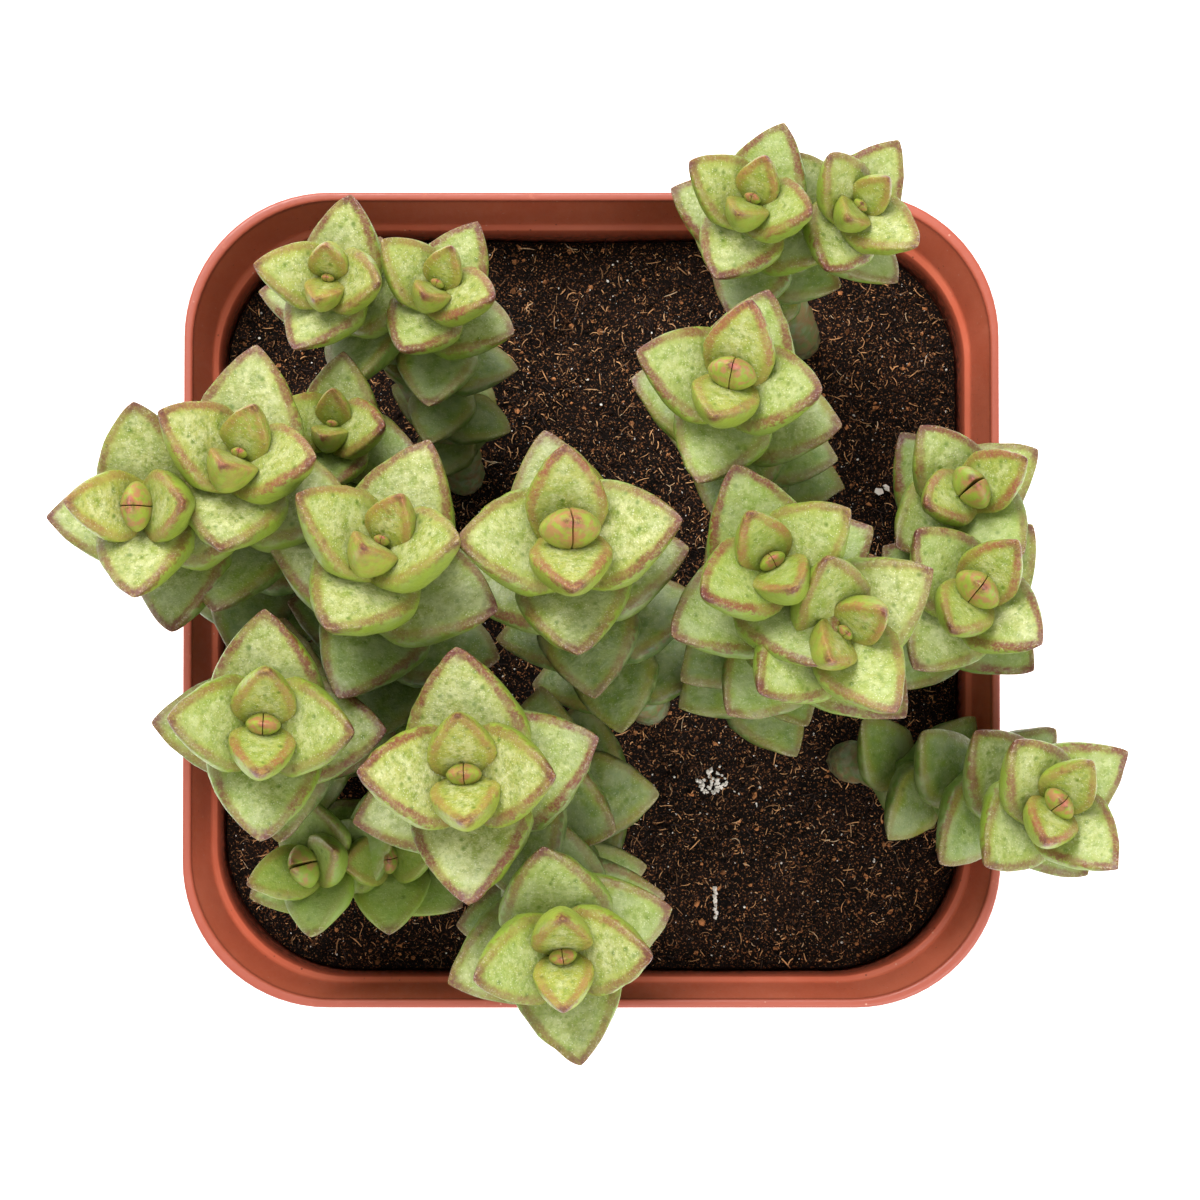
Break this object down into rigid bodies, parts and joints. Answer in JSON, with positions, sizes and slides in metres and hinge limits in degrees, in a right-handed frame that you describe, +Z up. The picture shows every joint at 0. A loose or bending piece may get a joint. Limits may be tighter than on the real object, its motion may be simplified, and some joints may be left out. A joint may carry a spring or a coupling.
{
  "type": "potted stacked succulent",
  "caption": "Small stacked succulent with thick pointed leaf pairs on many stems, growing in soil in a square plastic nursery pot with rounded corners.",
  "frame": {"origin": "middle of the pot's flat underside", "axes": "+Z up along the pot's axis; +Y points away from the viewer of the picture, +X to the viewer's right"},
  "size_m": [0.0708, 0.0607, 0.0802],
  "materials": {
    "pot_plastic": "orange-brown plastic with a soft sheen, paler along the lip",
    "potting_soil": "dark moist peat with tan fibres and pale specks",
    "leaf": "plump yellow-green leaves with a mealy bloom, darker dots and broken red margins"
  },
  "bodies": {
    "root": {"pot": "pot_plastic", "soil": "potting_soil", "leafy_stem_01": "leaf", "leafy_stem_02": "leaf", "leafy_stem_03": "leaf", "leafy_stem_04": "leaf", "leafy_stem_05": "leaf", "leafy_stem_06": "leaf", "leafy_stem_07": "leaf", "leafy_stem_08": "leaf", "leafy_stem_09": "leaf", "leafy_stem_10": "leaf", "leafy_stem_11": "leaf", "leafy_stem_12": "leaf", "leafy_stem_13": "leaf", "leafy_stem_14": "leaf", "leafy_stem_15": "leaf", "leafy_stem_16": "leaf"}
  },
  "joints": []
}
